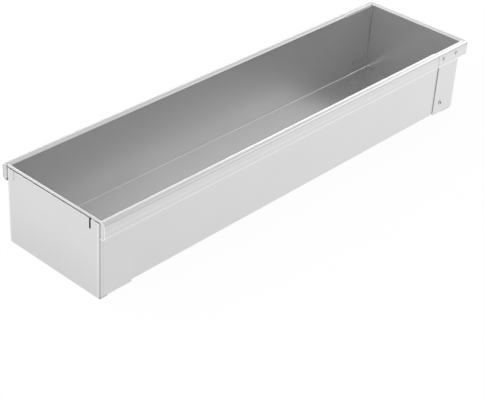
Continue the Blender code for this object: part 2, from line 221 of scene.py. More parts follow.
# Brightness of the surround that the metal mirrors, by the side of the pan on which it lies
# and at the horizon; the soft one is what lights a dull surface
SKY_BACK_LEFT = 1.0
SKY_BACK_RIGHT = 0.73
SKY_FRONT_LEFT = 0.27
SKY_FRONT_RIGHT = 0.77
SKY_HORIZON = 0.38
SKY_SOFT = 0.79

# Where that changes, on a direction of unit length: how far it points up, and to a side
SKY_HEIGHTS = (0.05, 0.40)
SKY_SIDES = (-0.6, 0.6)

# White paper floor; its pattern has waves a metre, detail and roughness
FLOOR_RADIUS = 14.0
FLOOR_SIDES = 96
FLOOR_DROP = 0.0001
PAPER_PATTERN = (40.0, 3.0, 0.5)
PAPER_TONES = (0.79, 0.81)

# Brightness of the floor that the metal mirrors, from the left to the right of the pan, with
# what it gains beyond the cap; places are along X
FLOOR_LEFT = 0.86
FLOOR_RIGHT = 1.0
FLOOR_PLACES = (-0.30, 0.35)
CAP_FLOOR_GAIN = 0.10
CAP_FLOOR_PLACES = (-0.31, -0.36)
MIRRORED_PAPER_TONE = 0.9
MIRRORED_GLOW_SHARE = 0.94

# Softboxes, which all face the pan: place, width and height in metres, power in watts
SOFTBOXES = {
    "key softbox": ((-1.6, 0.0, 1.5), 0.9, 0.9, 14.5),
    "end softbox": ((1.9, 0.0, 1.0), 0.9, 0.7, 4.2),
    "back softbox": ((-0.6, 1.6, 1.5), 0.9, 0.9, 3.5),
    "side softbox": ((1.1, -0.75, 0.75), 0.9, 0.9, 1.3),
    "back strip": ((1.2, 1.45, 0.62), 1.8, 0.25, 3.9),
}


# Node helpers

class Recipe:
    """The node tree of a material, the world or a modifier, built link by link."""

    def __init__(self, tree):
        self.tree = tree

    def add(self, kind, settings=None, **inputs):
        """A new node with these settings; the inputs hold values or sockets."""
        node = self.tree.nodes.new(kind)
        for key, value in (settings or {}).items():
            setattr(node, key, value)
        for key, value in inputs.items():
            self.put(node, key.replace("_", " "), value)
        return node

    def put(self, node, name, value):
        """Link a socket to a node's input, or set the input to a value."""
        socket = node.inputs[name]
        if isinstance(value, bpy.types.NodeSocket):
            self.tree.links.new(value, socket)
        else:
            socket.default_value = value

    def math(self, operation, first, second=None):
        """The result of one calculation with values or sockets."""
        node = self.tree.nodes.new("ShaderNodeMath")
        node.operation = operation
        for socket, value in zip(node.inputs, (first, second)):
            if isinstance(value, bpy.types.NodeSocket):
                self.tree.links.new(value, socket)
            elif value is not None:
                socket.default_value = value
        return node.outputs[0]

    def plus(self, value, share, amount):
        """The value, with the amount added to it where the share is one."""
        return self.math("ADD", value, self.math("MULTIPLY", share, amount))

    def spread(self, value, low, high, out_low, out_high):
        """The value, moved from one range to another and held within it."""
        node = self.add("ShaderNodeMapRange", Value=value)
        self.put(node, "From Min", low)
        self.put(node, "From Max", high)
        self.put(node, "To Min", out_low)
        self.put(node, "To Max", out_high)
        return node.outputs["Result"]

    def noise(self, place, waves, detail, roughness):
        node = self.add("ShaderNodeTexNoise", Vector=place, Scale=waves, Detail=detail,
                        Roughness=roughness)
        return node.outputs["Fac"]

    def pattern(self, place, waves, detail, roughness):
        """Noise with its own number of waves a metre along, across and through a sheet."""
        node = self.add("ShaderNodeMapping", {"vector_type": "POINT"}, Vector=place)
        node.inputs["Scale"].default_value = waves
        return self.noise(node.outputs["Vector"], 1.0, detail, roughness)

    def with_lines(self, tone, place, lines, share=None):
        """The tone with lines drawn across it, in full or where the share is one."""
        for middle, half_width, change in lines:
            off = self.math("ABSOLUTE", self.math("SUBTRACT", place, middle))
            line = self.spread(off, LINE_CORE_SHARE * half_width, half_width, change, 0.0)
            if share is not None:
                line = self.math("MULTIPLY", line, share)
            tone = self.math("ADD", tone, line)
        return tone

    def mixed(self, share, first, second):
        """Two shaders mixed by a share of the second."""
        node = self.tree.nodes.new("ShaderNodeMixShader")
        self.put(node, "Fac", share)
        self.tree.links.new(first.outputs[0], node.inputs[1])
        self.tree.links.new(second.outputs[0], node.inputs[2])
        return node

    def blend(self, share, first, second):
        """Two colours mixed; sockets go by number, as several of the node's share a name."""
        node = self.add("ShaderNodeMix", {"data_type": "RGBA"})
        for index, value in ((0, share), (6, first), (7, second)):
            if isinstance(value, bpy.types.NodeSocket):
                self.tree.links.new(value, node.inputs[index])
            else:
                node.inputs[index].default_value = value
        return node.outputs[2]


def grey(level):
    return (level, level, level, 1.0)


def new_material(name):
    """A metal material, with the recipe for its nodes and its shader."""
    material = bpy.data.materials.new(name)
    material.use_nodes = True
    shader = material.node_tree.nodes["Principled BSDF"]
    shader.inputs["Metallic"].default_value = 1.0
    return material, Recipe(material.node_tree), shader


# Finishes

def lines_from(start, *lines):
    """The lines with their offsets counted from the start."""
    return [(start + offset, half_width, change) for offset, half_width, change in lines]


def satin_sheet(name, folds=(), level_light_lines=()):
    """Rolled satin sheet: fine grain along the sheet, soft clouds, faint rubs, painted highlight on
    cut edges.

    The side that looks into the pan is a little smoother from use, and a little darker as painted
    shade of the hollow. The fold lines are painted highlight and shade across the flat sheet, on
    both sides of its middle, and the level lines on its outside are painted highlight and shade
    too. Each has its place, its half width and its change of tone.
    """
    material, recipe, shader = new_material(name)
    flat = recipe.add("ShaderNodeTexCoord").outputs["UV"]
    grain = recipe.pattern(flat, *GRAIN_PATTERN)
    streaks = recipe.pattern(flat, *STREAK_PATTERN)
    clouds = recipe.noise(flat, *CLOUD_PATTERN)
    rubs = recipe.spread(recipe.pattern(flat, *RUB_PATTERN), *RUB_RANGE, 0.0, 1.0)
    cut_edge = recipe.add("ShaderNodeAttribute", {"attribute_name": "cut edge"}).outputs["Fac"]
    inside = recipe.add("ShaderNodeAttribute", {"attribute_name": "inside"}).outputs["Fac"]

    mottle = recipe.math("ADD", recipe.math("MULTIPLY", clouds, CLOUD_SHARE),
                         recipe.math("MULTIPLY", streaks, 1 - CLOUD_SHARE))
    shade = recipe.spread(mottle, *NOISE_RANGE, -TONE_SWING, TONE_SWING)
    # Painted shade: the inside of the pan is given the darker tone
    tone = recipe.spread(inside, 0.0, 1.0, SHEET_TONE, INSIDE_SHADED_TONE)
    tone = recipe.math("ADD", tone, shade)
    tone = recipe.plus(tone, rubs, RUB_TONE_GAIN)
    # Painted highlight: the cut edges are made lighter
    tone = recipe.plus(tone, cut_edge, CUT_EDGE_HIGHLIGHT_GAIN)
    # Painted highlight and shade along the folds of the cap
    if folds:
        along = recipe.add("ShaderNodeSeparateXYZ", Vector=flat).outputs["X"]
        tone = recipe.with_lines(tone, recipe.math("ABSOLUTE", along), folds)
    # Painted highlight and shade in level lines on the outside of the sheet
    if level_light_lines:
        spot = recipe.add("ShaderNodeTexCoord").outputs["Object"]
        height = recipe.add("ShaderNodeSeparateXYZ", Vector=spot).outputs["Z"]
        outside = recipe.math("SUBTRACT", 1.0, inside)
        tone = recipe.with_lines(tone, height, level_light_lines, outside)
    colour = recipe.add("ShaderNodeCombineColor", Red=tone, Green=tone, Blue=tone)
    recipe.put(shader, "Base Color", colour.outputs["Color"])

    metal = recipe.spread(inside, 0.0, 1.0, 1.0, INSIDE_METAL)
    edge_metal = recipe.spread(cut_edge, 0.0, 1.0, 1.0, CUT_EDGE_METAL)
    recipe.put(shader, "Metallic", recipe.math("MULTIPLY", metal, edge_metal))

    rough = recipe.spread(grain, *NOISE_RANGE, SHEET_ROUGHNESS - GLOSS_SWING,
                          SHEET_ROUGHNESS + GLOSS_SWING)
    rough = recipe.plus(rough, rubs, RUB_ROUGHNESS_GAIN)
    rough = recipe.plus(rough, cut_edge, CUT_EDGE_ROUGHNESS_GAIN)
    rough = recipe.plus(rough, inside, INSIDE_ROUGHNESS_GAIN)
    recipe.put(shader, "Roughness", rough)

    bow = recipe.pattern(flat, *BOW_PATTERN)
    low = recipe.add("ShaderNodeBump", Height=bow, Strength=BOW_STRENGTH, Distance=BOW_DEPTH)
    fine = recipe.add("ShaderNodeBump", Height=grain, Strength=GRAIN_STRENGTH,
                      Distance=GRAIN_DEPTH, Normal=low.outputs["Normal"])
    recipe.put(shader, "Normal", fine.outputs["Normal"])
    return material


def plain_metal(name, tone, roughness, waves, metallic):
    """Plain steel of bars and rivets: fine mottling with a few darker specks."""
    material, recipe, shader = new_material(name)
    shader.inputs["Metallic"].default_value = metallic
    place = recipe.add("ShaderNodeTexCoord").outputs["Object"]
    grain = recipe.noise(place, waves, *MOTTLE_DETAIL)
    specks = recipe.noise(place, waves * SPECK_WAVE_RATIO, *SPECK_DETAIL)
    speck_share = recipe.spread(specks, *SPECK_RANGE, 0.0, 1.0)
    shade = recipe.spread(grain, *NOISE_RANGE, 0.0, 1.0)
    darker, lighter = MOTTLE_TONES
    colour = recipe.blend(shade, grey(tone + darker), grey(tone + lighter))
    colour = recipe.blend(recipe.math("MULTIPLY", speck_share, SPECK_STRENGTH), colour,
                          grey(tone * SPECK_TONE_SHARE))
    recipe.put(shader, "Base Color", colour)
    glossier, duller = MOTTLE_GLOSS
    rough = recipe.spread(grain, *NOISE_RANGE, roughness + glossier, roughness + duller)
    recipe.put(shader, "Roughness", rough)
    bump = recipe.add("ShaderNodeBump", Height=grain, Strength=MOTTLE_STRENGTH,
                      Distance=MOTTLE_DEPTH)
    recipe.put(shader, "Normal", bump.outputs["Normal"])
    return material


# Folding sheet metal

def fold_line(corners, radii):
    """The corner points of a fold line, with an arc of the given radius at each inner one."""
    corners = [Vector(corner) for corner in corners]
    line = [corners[0]]
    for before, corner, after, radius in zip(corners, corners[1:], corners[2:], radii):
        to_before = (before - corner).normalized()
        to_after = (after - corner).normalized()
        half_angle = to_before.angle(to_after) / 2
        start = corner + to_before * radius / math.tan(half_angle)
        centre = corner + (to_before + to_after).normalized() * radius / math.sin(half_angle)
        sweep = (math.pi - 2 * half_angle) * (1 if to_before.cross(to_after) < 0 else -1)
        for step in range(FOLD_STEPS + 1):
            turn = Matrix.Rotation(sweep * step / FOLD_STEPS, 2)
            line.append(centre + turn @ (start - centre))
    line.append(corners[-1])
    kept = [line[0]]
    for point in line[1:]:
        if (point - kept[-1]).length > MERGE:
            kept.append(point)
    return kept


def with_levels(line, levels):
    """Add a point at each level on the longest stretch of a fold line, which is upright."""
    lengths = [(after - before).length for before, after in zip(line, line[1:])]
    index = lengths.index(max(lengths))
    start, end = line[index], line[index + 1]
    fresh = [start.lerp(end, (level - start.y) / (end.y - start.y)) for level in sorted(levels)]
    return line[:index + 1] + fresh + line[index + 1:]


def start_sheet(line, place):
    """A row of joined edges along a fold line, each point with its place in the flat sheet."""
    bm = bmesh.new()
    bm.verts.layers.float_vector.new("flat")
    bm.verts.layers.float_vector.new("arm")
    flat = bm.verts.layers.float_vector["flat"]
    verts = []
    run = 0.0
    for index, point in enumerate(line):
        if index > 0:
            run += (point - line[index - 1]).length
        vert = bm.verts.new(place(point))
        vert[flat] = (0.0, run, 0.0)
        verts.append(vert)
    edges = [bm.edges.new(pair) for pair in zip(verts, verts[1:])]
    return bm, edges


def draw_out(bm, edges, move, length):
    """Draw the edges out into faces; length is how far that goes in the flat sheet."""
    made = bmesh.ops.extrude_edge_only(bm, edges=edges)["geom"]
    verts = [part for part in made if isinstance(part, bmesh.types.BMVert)]
    flat = bm.verts.layers.float_vector["flat"]
    for vert in verts:
        vert.co = move(vert)
        vert[flat] = vert[flat] + Vector((length, 0.0, 0.0))
    fresh = set(verts)
    return [part for part in made
            if isinstance(part, bmesh.types.BMEdge) and fresh.issuperset(part.verts)]


def run_out(bm, edges, vector):
    """Draw the edges out straight; in the flat sheet they go back where that is to -X or -Y."""
    step = Vector(vector)
    sign = -1 if step.x + step.y < -MERGE else 1
    return draw_out(bm, edges, lambda vert: vert.co + step, sign * step.length)


def corner_path(arm, angle, fold, dent):
    """Places, seen from the axis of a corner fold, of a point that turns the corner.

    They are the start and the steps of its arc, and last the place where the flap begins.
    """
    reach = arm.length
    radius = fold + CORNER_SHARE * (reach - fold)
    ahead = arm.normalized()
    beside = Matrix.Rotation(angle, 3, "Z") @ ahead
    middle = (ahead + beside) * (reach - radius)
    places = []
    for step in range(CORNER_STEPS + 1):
        turn = angle * step / CORNER_STEPS
        dip = dent(abs(turn)) if dent else 0.0
        places.append(middle + Matrix.Rotation(turn, 3, "Z") @ ahead * (radius - dip))
    return places + [beside * reach]


def turn_out(bm, edges, centre, angle, side, fold, dent=None):
    """Draw the edges round an upright corner; dent gives how far the sheet dips at an angle."""
    axis = Vector(centre)
    steps = CORNER_STEPS + 2
    length = side * fold * abs(angle) / steps
    layer = bm.verts.layers.float_vector["arm"]
    for vert in {vert for edge in edges for vert in edge.verts}:
        vert[layer] = Vector((vert.co.x - axis.x, vert.co.y - axis.y, 0.0))
    for step in range(steps):
        def move(vert, step=step):
            place = axis + corner_path(vert[layer], angle, fold, dent)[step]
            return Vector((place.x, place.y, vert.co.z))

        edges = draw_out(bm, edges, move, length)
    return edges


def edges_between(edges, low, high):
    """Those of the edges that lie between two levels."""
    return [edge for edge in edges
            if all(low - MERGE < vert.co.z < high + MERGE for vert in edge.verts)]


def mesh_of(item, name):
    """The item's mesh with its modifiers applied; the item itself keeps none."""
    graph = bpy.context.evaluated_depsgraph_get()
    fresh = bpy.data.meshes.new_from_object(item.evaluated_get(graph), depsgraph=graph)
    fresh.name = name
    old = item.data
    item.modifiers.clear()
    item.data = fresh
    bpy.data.meshes.remove(old)
    return fresh


def round_top(mesh, radius):
    """Round the edges that lie at the top level of the mesh."""
    bm = bmesh.new()
    bm.from_mesh(mesh)
    top = max(vert.co.z for vert in bm.verts) - MERGE
    edges = [edge for edge in bm.edges if all(vert.co.z > top for vert in edge.verts)
             and edge.calc_face_angle(0) > SHARP_ANGLE]
    bmesh.ops.bevel(bm, geom=edges, offset=radius, segments=ROUND_STEPS, profile=ROUND_PROFILE,
                    affect="EDGES", material=1, clamp_overlap=True)
    bm.to_mesh(mesh)
    bm.free()


def steady_shading(item, name):
    """Shade the item's mesh smooth between its sharp edges, with the flat faces kept flat."""
    item.data.shade_smooth()
    item.data.set_sharp_from_angle(angle=SHARP_ANGLE)
    steady = item.modifiers.new("steady shading", "WEIGHTED_NORMAL")
    steady.keep_sharp = True
    mesh_of(item, name)


def mark_faces(mesh):
    """Mark the cut edges and the inside of the pan; cut edges are the faces of slot one."""
    marks = [(face.material_index == 1, in_cavity(face)) for face in mesh.polygons]
    for label, column in (("cut edge", 0), ("inside", 1)):
        layer = mesh.attributes.new(label, "FLOAT", "FACE")
        for item_mark, mark in zip(layer.data, marks):
            item_mark.value = 1.0 if mark[column] else 0.0


def in_cavity(face):
    """Whether the face looks into the cavity of the pan."""
    near = EDGE_ROUND + MERGE
    place = face.center
    return (abs(place.y) < WALL_INNER_Y + near and place.z > UNDERSIDE + SHEET - near
            and CAVITY_START - near < place.x < CAVITY_END + near)


def sheet_from(name, bm, material, cutters=(), top_round=None):
    """A finished sheet: its thickness, its cuts, its softened cut edges and its marks.

    Where top_round is given, the edges at the top of the sheet are rounded by that much. Two
    material slots tell the cut edges from the rest until they are marked.
    """
    flat = bm.verts.layers.float_vector["flat"]
    pattern = bm.loops.layers.uv.new("flat sheet")
    for face in bm.faces:
        for loop in face.loops:
            loop[pattern].uv = (loop.vert[flat].x, loop.vert[flat].y)
    bm.verts.layers.float_vector.remove(flat)
    bm.verts.layers.float_vector.remove(bm.verts.layers.float_vector["arm"])
    bmesh.ops.remove_doubles(bm, verts=bm.verts, dist=MERGE)
    bmesh.ops.recalc_face_normals(bm, faces=bm.faces)
    mesh = bpy.data.meshes.new(name)
    bm.to_mesh(mesh)
    bm.free()
    mesh.materials.append(material)
    mesh.materials.append(material)
    item = bpy.data.objects.new(name, mesh)
    bpy.context.scene.collection.objects.link(item)

    wall = item.modifiers.new("sheet", "SOLIDIFY")
    wall.thickness = SHEET
    wall.offset = 0
    wall.use_even_offset = True
    wall.material_offset_rim = 1
    for cutter in cutters:
        hole = item.modifiers.new(cutter.name, "BOOLEAN")
        hole.operation = "DIFFERENCE"
        hole.solver = "EXACT"
        hole.object = cutter
    if top_round:
        round_top(mesh_of(item, name), top_round)
    soft = item.modifiers.new("deburred", "BEVEL")
    soft.width = EDGE_ROUND
    soft.segments = EDGE_STEPS
    soft.limit_method = "ANGLE"
    soft.angle_limit = DEBUR_ANGLE
    soft.use_clamp_overlap = False
    soft.material = 1
    mesh = mesh_of(item, name)

    mark_faces(mesh)
    for face in mesh.polygons:
        face.material_index = 0
    mesh.materials.pop(index=1)
    steady_shading(item, name)
    return item


def rim_corners(wall_face, reach):
    """Corner points of the hollow rim, seen along it, on a wall with this inner face.

    Its top slopes gently down to the lip.
    """
    top = RIM_TOP - SHEET / 2
    bottom = RIM_BOTTOM + SHEET / 2
    outer = wall_face + reach - SHEET / 2
    crown = outer - RIM_FOLD - RIM_CROWN_FOLD * math.tan(RIM_SLOPE / 2)
    lip = wall_face + SHEET / 2
    lip_level = top - (crown - lip) * math.tan(RIM_SLOPE)
    tucked = wall_face + SHEET + LAP_GAP
    return [(lip, lip_level), (crown, top), (outer, top), (outer, bottom), (tucked, bottom)]


def flange_corners(depth):
    """Corner points of a hemmed flange that turns inward, seen along it, with its wall at zero."""
    lower = SHEET / 2
    upper = lower + SHEET + HEM_GAP
    return [(FLANGE_HEM_LAP - depth, upper), (-depth, upper), (-depth, lower), (lower, lower)]


# Cutters

def box_cutter(name, low, high):
    """A box between two corners."""
    bm = bmesh.new()
    bmesh.ops.create_cube(bm, size=1)
    size = [top - bottom for bottom, top in zip(low, high)]
    centre = [(top + bottom) / 2 for bottom, top in zip(low, high)]
    bmesh.ops.scale(bm, verts=bm.verts, vec=size)
    bmesh.ops.translate(bm, verts=bm.verts, vec=centre)
    return item_from(name, bm)


def hole_cutter(name, place, radius, length):
    """A round cutter that lies across the pan, with its middle at this place."""
    bm = bmesh.new()
    turn = Matrix.Translation(place) @ Matrix.Rotation(math.pi / 2, 4, "X")
    bmesh.ops.create_cone(bm, cap_ends=True, segments=RIVET_STEPS, radius1=radius,
                          radius2=radius, depth=length, matrix=turn)
    return item_from(name, bm)


def item_from(name, bm):
    """An object in the scene with this mesh."""
    mesh = bpy.data.meshes.new(name)
    bm.to_mesh(mesh)
    bm.free()
    item = bpy.data.objects.new(name, mesh)
    bpy.context.scene.collection.objects.link(item)
    return item


def remove_items(items):
    """Remove helpers, with their meshes."""
    for item in items:
        mesh = item.data
        bpy.data.objects.remove(item, do_unlink=True)
        bpy.data.meshes.remove(mesh)


# Rivet places

def flap_rivet_places():
    """Seats of the flap rivets with the way that each head faces."""
    x = CAVITY_END - FLAP_RIVET_SETBACK
    z = UNDERSIDE + FLAP_RIVET_HEIGHT
    seat = LAP_OUTER_Y + LAP_GAP
    return [(Vector((x, side * seat, z)), Vector((0, side, 0))) for side in (-1, 1)]


def rim_rivet_places():
    """Seats of the rim rivets, two on each side, with the way that each head faces."""
    z = RIM_BOTTOM + RIM_RIVET_RISE
    seat = RIM_OUTER_Y + LAP_GAP
    first = RETURN_START + RIM_RIVET_END_INSET
    return [(Vector((first + RIM_RIVET_SPACING * number, side * seat, z)), Vector((0, side, 0)))
            for side in (-1, 1) for number in (0, 1)]


def rivet_hole_cutters():
    """Round cutters for the holes of all rivets."""
    radius = RIVET_SHANK_RADIUS + LAP_GAP
    flap = []
    for number, (seat, facing) in enumerate(flap_rivet_places()):
        middle = Vector((seat.x, facing.y * (WALL_INNER_Y + LAP_OUTER_Y) / 2, seat.z))
        length = LAP_OUTER_Y - WALL_INNER_Y + 2 * OVERRUN
        flap.append(hole_cutter(f"flap_hole_{number}", middle, radius, length))
    rim = []
    bottom = BAR_OUTER_Y - RIM_RIVET_BITE - LAP_GAP
    top = RIM_OUTER_Y + OVERRUN
    for number, (seat, facing) in enumerate(rim_rivet_places()):
        middle = Vector((seat.x, facing.y * (top + bottom) / 2, seat.z))
        rim.append(hole_cutter(f"rim_hole_{number}", middle, radius, top - bottom))
    return flap, rim


# The pieces

def make_trough(material, flap_holes):
    """Floor, two long walls and two long hollow rims in one sheet.

    The rims run on beside the end cap, as far as its face.
    """
    middle = WALL_INNER_Y + SHEET / 2
    floor = UNDERSIDE + SHEET / 2
    lip, crown, top, bottom, tucked = rim_corners(WALL_INNER_Y, RIM_REACH)
    level_at_cap = crown[1] - (crown[0] - BAR_INNER_Y) * math.tan(RIM_SLOPE)
    above_cap, below_cap = (BAR_INNER_Y, level_at_cap), (BAR_INNER_Y, tucked[1])
    half = [(middle, floor), lip, above_cap, crown, top, bottom, below_cap, tucked]
    corners = [(-y, z) for y, z in reversed(half)] + half
    folds = [FLOOR_FOLD, LIP_FOLD, 0, RIM_CROWN_FOLD, RIM_FOLD, RIM_FOLD, 0]
    line = fold_line(corners, folds[::-1] + folds)
    bm, edges = start_sheet(line, lambda point: (TROUGH_START, point.x, point.y))
    for side in (1, -1):
        beside_cap = [edge for edge in edges
                      if all(side * vert.co.y > BAR_INNER_Y - MERGE for vert in edge.verts)]
        run_out(bm, beside_cap, (RIM_START - TROUGH_START, 0, 0))
    rim_length = RETURN_START - RIM_JOINT_GAP - TROUGH_START
    edges = run_out(bm, edges, (rim_length, 0, 0))
    plain = [edge for edge in edges if all(abs(vert.co.y) < middle + MERGE for vert in edge.verts)]
    wall_length = WALL_CORNER_X - TROUGH_START
    plain = run_out(bm, plain, (wall_length - rim_length, 0, 0))
    run_out(bm, edges_between(plain, floor, floor), (TROUGH_END - TROUGH_START - wall_length, 0, 0))
    return sheet_from("folded_trough", bm, material, flap_holes)


def make_end_wall(material, holes):
    """Fixed end: a wall with a flange under the floor, flaps and a rim that turns both corners."""
    corners = flange_corners(WALL_FLANGE_DEPTH) + rim_corners(0, END_RIM_REACH)
    radii = [HEM_RADIUS, HEM_RADIUS, FLANGE_FOLD, LIP_FOLD, RIM_CROWN_FOLD, RIM_FOLD, RIM_FOLD]
    line = with_levels(fold_line(corners, radii), [UNDERSIDE, RIM_BOTTOM])
    bm, middle_edges = start_sheet(line, lambda point: (CAVITY_END + point.x, 0, point.y))
    flap_end_x = CAVITY_END - WALL_FLAP_LENGTH
    for side in (1, -1):
        edges = run_out(bm, middle_edges, (0, side * WALL_CORNER_Y, 0))
        flange = edges_between(edges, 0, HEM_THICKNESS)
        run_out(bm, flange, (0, side * (WALL_OUTER_Y - WALL_CORNER_Y), 0))
        edges = [edge for edge in edges_between(edges, UNDERSIDE, RIM_TOP)
                 if all(vert.co.x > CAVITY_END for vert in edge.verts)]
        centre = (WALL_CORNER_X, side * WALL_CORNER_Y, 0)
        edges = turn_out(bm, edges, centre, side * math.pi / 2, side, WALL_CORNER_FOLD)
        edges = draw_flap(bm, edges, flap_end_x - WALL_CORNER_X, side)
        draw_flap(bm, edges_between(edges, RIM_BOTTOM, RIM_TOP), RETURN_START - flap_end_x, side)
    return sheet_from("folded_end_wall", bm, material, holes)


def draw_flap(bm, edges, distance, side):
    """Run the edges along the pan, as far as this distance, on one side of it."""
    step = Vector((distance, 0, 0))
    return draw_out(bm, edges, lambda vert: vert.co + step, side * abs(distance))


def crease(angle):
    """Depth of the pressed crease line at this angle round a corner of the cap."""
    return CREASE_DEPTH * max(0.0, 1 - abs(angle - CREASE_ANGLE) / CREASE_SPREAD)


def make_end_cap(material):
    """Removable end: a wall with a flange under the floor, creased corners, flaps and slots."""
    corners = flange_corners(CAP_FLANGE_DEPTH) + [(SHEET / 2, CAP_TOP)]
    flap_top = RIM_BOTTOM - LAP_GAP
    line = with_levels(fold_line(corners, [HEM_RADIUS, HEM_RADIUS, FLANGE_FOLD]),
                       [UNDERSIDE, flap_top])
    bm, middle_edges = start_sheet(line, lambda point: (CAP_FACE - point.x, 0, point.y))
    for side in (1, -1):
        edges = run_out(bm, middle_edges, (0, side * CAP_CORNER_Y, 0))
        flange = edges_between(edges, 0, HEM_THICKNESS)
        run_out(bm, flange, (0, side * (WALL_OUTER_Y - CAP_CORNER_Y), 0))
        edges = [edge for edge in edges_between(edges, UNDERSIDE, CAP_TOP)
                 if all(vert.co.x < CAP_FACE for vert in edge.verts)]
        centre = (CAP_CORNER_X, side * CAP_CORNER_Y, 0)
        edges = turn_out(bm, edges, centre, -side * math.pi / 2, side, CAP_CORNER_FOLD, crease)
        edges = draw_flap(bm, edges, CAVITY_START - CAP_CORNER_X, side)
        below_rim = edges_between(edges, UNDERSIDE, flap_top)
        draw_flap(bm, below_rim, CAP_FACE + CAP_FLAP_LENGTH - CAVITY_START, side)
    low_x = CAP_FACE - SHEET - OVERRUN
    high_x = CAP_FACE + OVERRUN
    bottom = CAP_TOP - CAP_SLOT_DEPTH
    top = CAP_TOP + OVERRUN
    far_y = WALL_INNER_Y - FAR_SLOT_INSET
    near_y = NEAR_SLOT_INSET - WALL_INNER_Y
    far_slot = box_cutter("far_slot", (low_x, far_y - FAR_SLOT_WIDTH, bottom),
                          (high_x, far_y, top))
    near_slot = box_cutter("near_slot", (low_x, near_y, bottom),
                           (high_x, near_y + NEAR_SLOT_WIDTH, top))
    slots = [far_slot, near_slot]
    item = sheet_from("folded_end_cap", bm, material, slots, CAP_EDGE_ROUND)
    remove_items(slots)
    return item


def make_end_plate(material):
    """Loose plate with a hemmed top edge that runs over the cap's flaps."""
    middle = CAVITY_START - SHEET / 2
    hem_middle = middle - SHEET - HEM_GAP
    foot = SHEET + LAP_GAP
    top = RIM_TOP - SHEET / 2
    hem_over_cap = CAP_TOP + LAP_GAP
    corners = [(middle, foot), (middle, top), (hem_middle, top),
               (hem_middle, RIM_TOP - PLATE_HEM_HEIGHT)]
    line = with_levels(fold_line(corners, [HEM_RADIUS, HEM_RADIUS]), [UNDERSIDE, hem_over_cap])
    bm, middle_edges = start_sheet(line, lambda point: (point.x, 0, point.y))
    foot_y = CAP_CORNER_Y - LAP_GAP
    for side in (1, -1):
        edges = run_out(bm, middle_edges, (0, side * foot_y, 0))
        edges = edges_between(edges, UNDERSIDE, RIM_TOP)
        edges = run_out(bm, edges, (0, side * (WALL_OUTER_Y - foot_y), 0))
        above_cap = edges_between(edges, hem_over_cap, RIM_TOP)
        run_out(bm, above_cap, (0, side * (LAP_OUTER_Y - WALL_OUTER_Y), 0))
    return sheet_from("hemmed_end_plate", bm, material)


# Geometry node trees for the bars and the rivets

def new_tree(name, inputs):
    """An empty geometry tree with a geometry input and these named inputs."""
    tree = bpy.data.node_groups.new(name, "GeometryNodeTree")
    tree.interface.new_socket("Geometry", in_out="INPUT", socket_type="NodeSocketGeometry")
    for label, kind in inputs:
        tree.interface.new_socket(label, in_out="INPUT", socket_type=kind)
    tree.interface.new_socket("Geometry", in_out="OUTPUT", socket_type="NodeSocketGeometry")
    recipe = Recipe(tree)
    return tree, recipe, recipe.add("NodeGroupInput"), recipe.add("NodeGroupOutput")


def bar_tree():
    """A flat bar with rounded long edges, drawn along a straight line."""
    tree, recipe, given, result = new_tree("flat bar along a line", [
        ("Start", "NodeSocketVector"), ("End", "NodeSocketVector"), ("Depth", "NodeSocketFloat"),
        ("Height", "NodeSocketFloat"), ("Edge Radius", "NodeSocketFloat"),
        ("Steel", "NodeSocketMaterial")])
    line = recipe.add("GeometryNodeCurvePrimitiveLine", Start=given.outputs["Start"],
                      End=given.outputs["End"])
    upright = recipe.add("GeometryNodeSetCurveNormal", {"mode": "Z_UP"},
                         Curve=line.outputs["Curve"])
    section = recipe.add("GeometryNodeCurvePrimitiveQuadrilateral", {"mode": "RECTANGLE"},
                         Width=given.outputs["Depth"], Height=given.outputs["Height"])
    rounded = recipe.add("GeometryNodeFilletCurve", {"mode": "POLY"},
                         Curve=section.outputs["Curve"], Count=FOLD_STEPS,
                         Radius=given.outputs["Edge Radius"])
    swept = recipe.add("GeometryNodeCurveToMesh", Curve=upright.outputs["Curve"],
                       Profile_Curve=rounded.outputs["Curve"], Fill_Caps=True)
    solid = recipe.add("GeometryNodeRealizeInstances", Geometry=swept.outputs["Mesh"])
    dressed = recipe.add("GeometryNodeSetMaterial", Geometry=solid.outputs["Geometry"],
                         Material=given.outputs["Steel"])
    recipe.put(result, "Geometry", dressed.outputs["Geometry"])
    return tree


def rivet_tree():
    """One rivet on each seat, its head turned the way that the seat faces."""
    tree, recipe, given, result = new_tree("rivets on their seats", [
        ("Rivet", "NodeSocketObject"), ("Seed", "NodeSocketInt"), ("Steel", "NodeSocketMaterial")])
    seats = recipe.add("GeometryNodeMeshToPoints", Mesh=given.outputs["Geometry"])
    facing = recipe.add("GeometryNodeInputNamedAttribute", {"data_type": "FLOAT_VECTOR"},
                        Name="facing")
    turned = recipe.add("FunctionNodeAlignRotationToVector", {"axis": "Z"},
                        Vector=facing.outputs["Attribute"])
    twist = recipe.add("FunctionNodeRandomValue", {"data_type": "FLOAT"},
                       Seed=given.outputs["Seed"])
    # These two are the node's sockets for plain numbers, which share their names with others
    most, turn = twist.inputs[3], twist.outputs[1]
    most.default_value = math.tau
    spin = recipe.add("FunctionNodeAxisAngleToRotation", Angle=turn)
    both = recipe.add("FunctionNodeRotateRotation", {"rotation_space": "LOCAL"},
                      Rotation=turned.outputs["Rotation"], Rotate_By=spin.outputs["Rotation"])
    shape = recipe.add("GeometryNodeObjectInfo", Object=given.outputs["Rivet"])
    placed = recipe.add("GeometryNodeInstanceOnPoints", Points=seats.outputs["Points"],
                        Instance=shape.outputs["Geometry"], Rotation=both.outputs["Rotation"])
    solid = recipe.add("GeometryNodeRealizeInstances", Geometry=placed.outputs["Instances"])
    dressed = recipe.add("GeometryNodeSetMaterial", Geometry=solid.outputs["Geometry"],
                         Material=given.outputs["Steel"])
    recipe.put(result, "Geometry", dressed.outputs["Geometry"])
    return tree


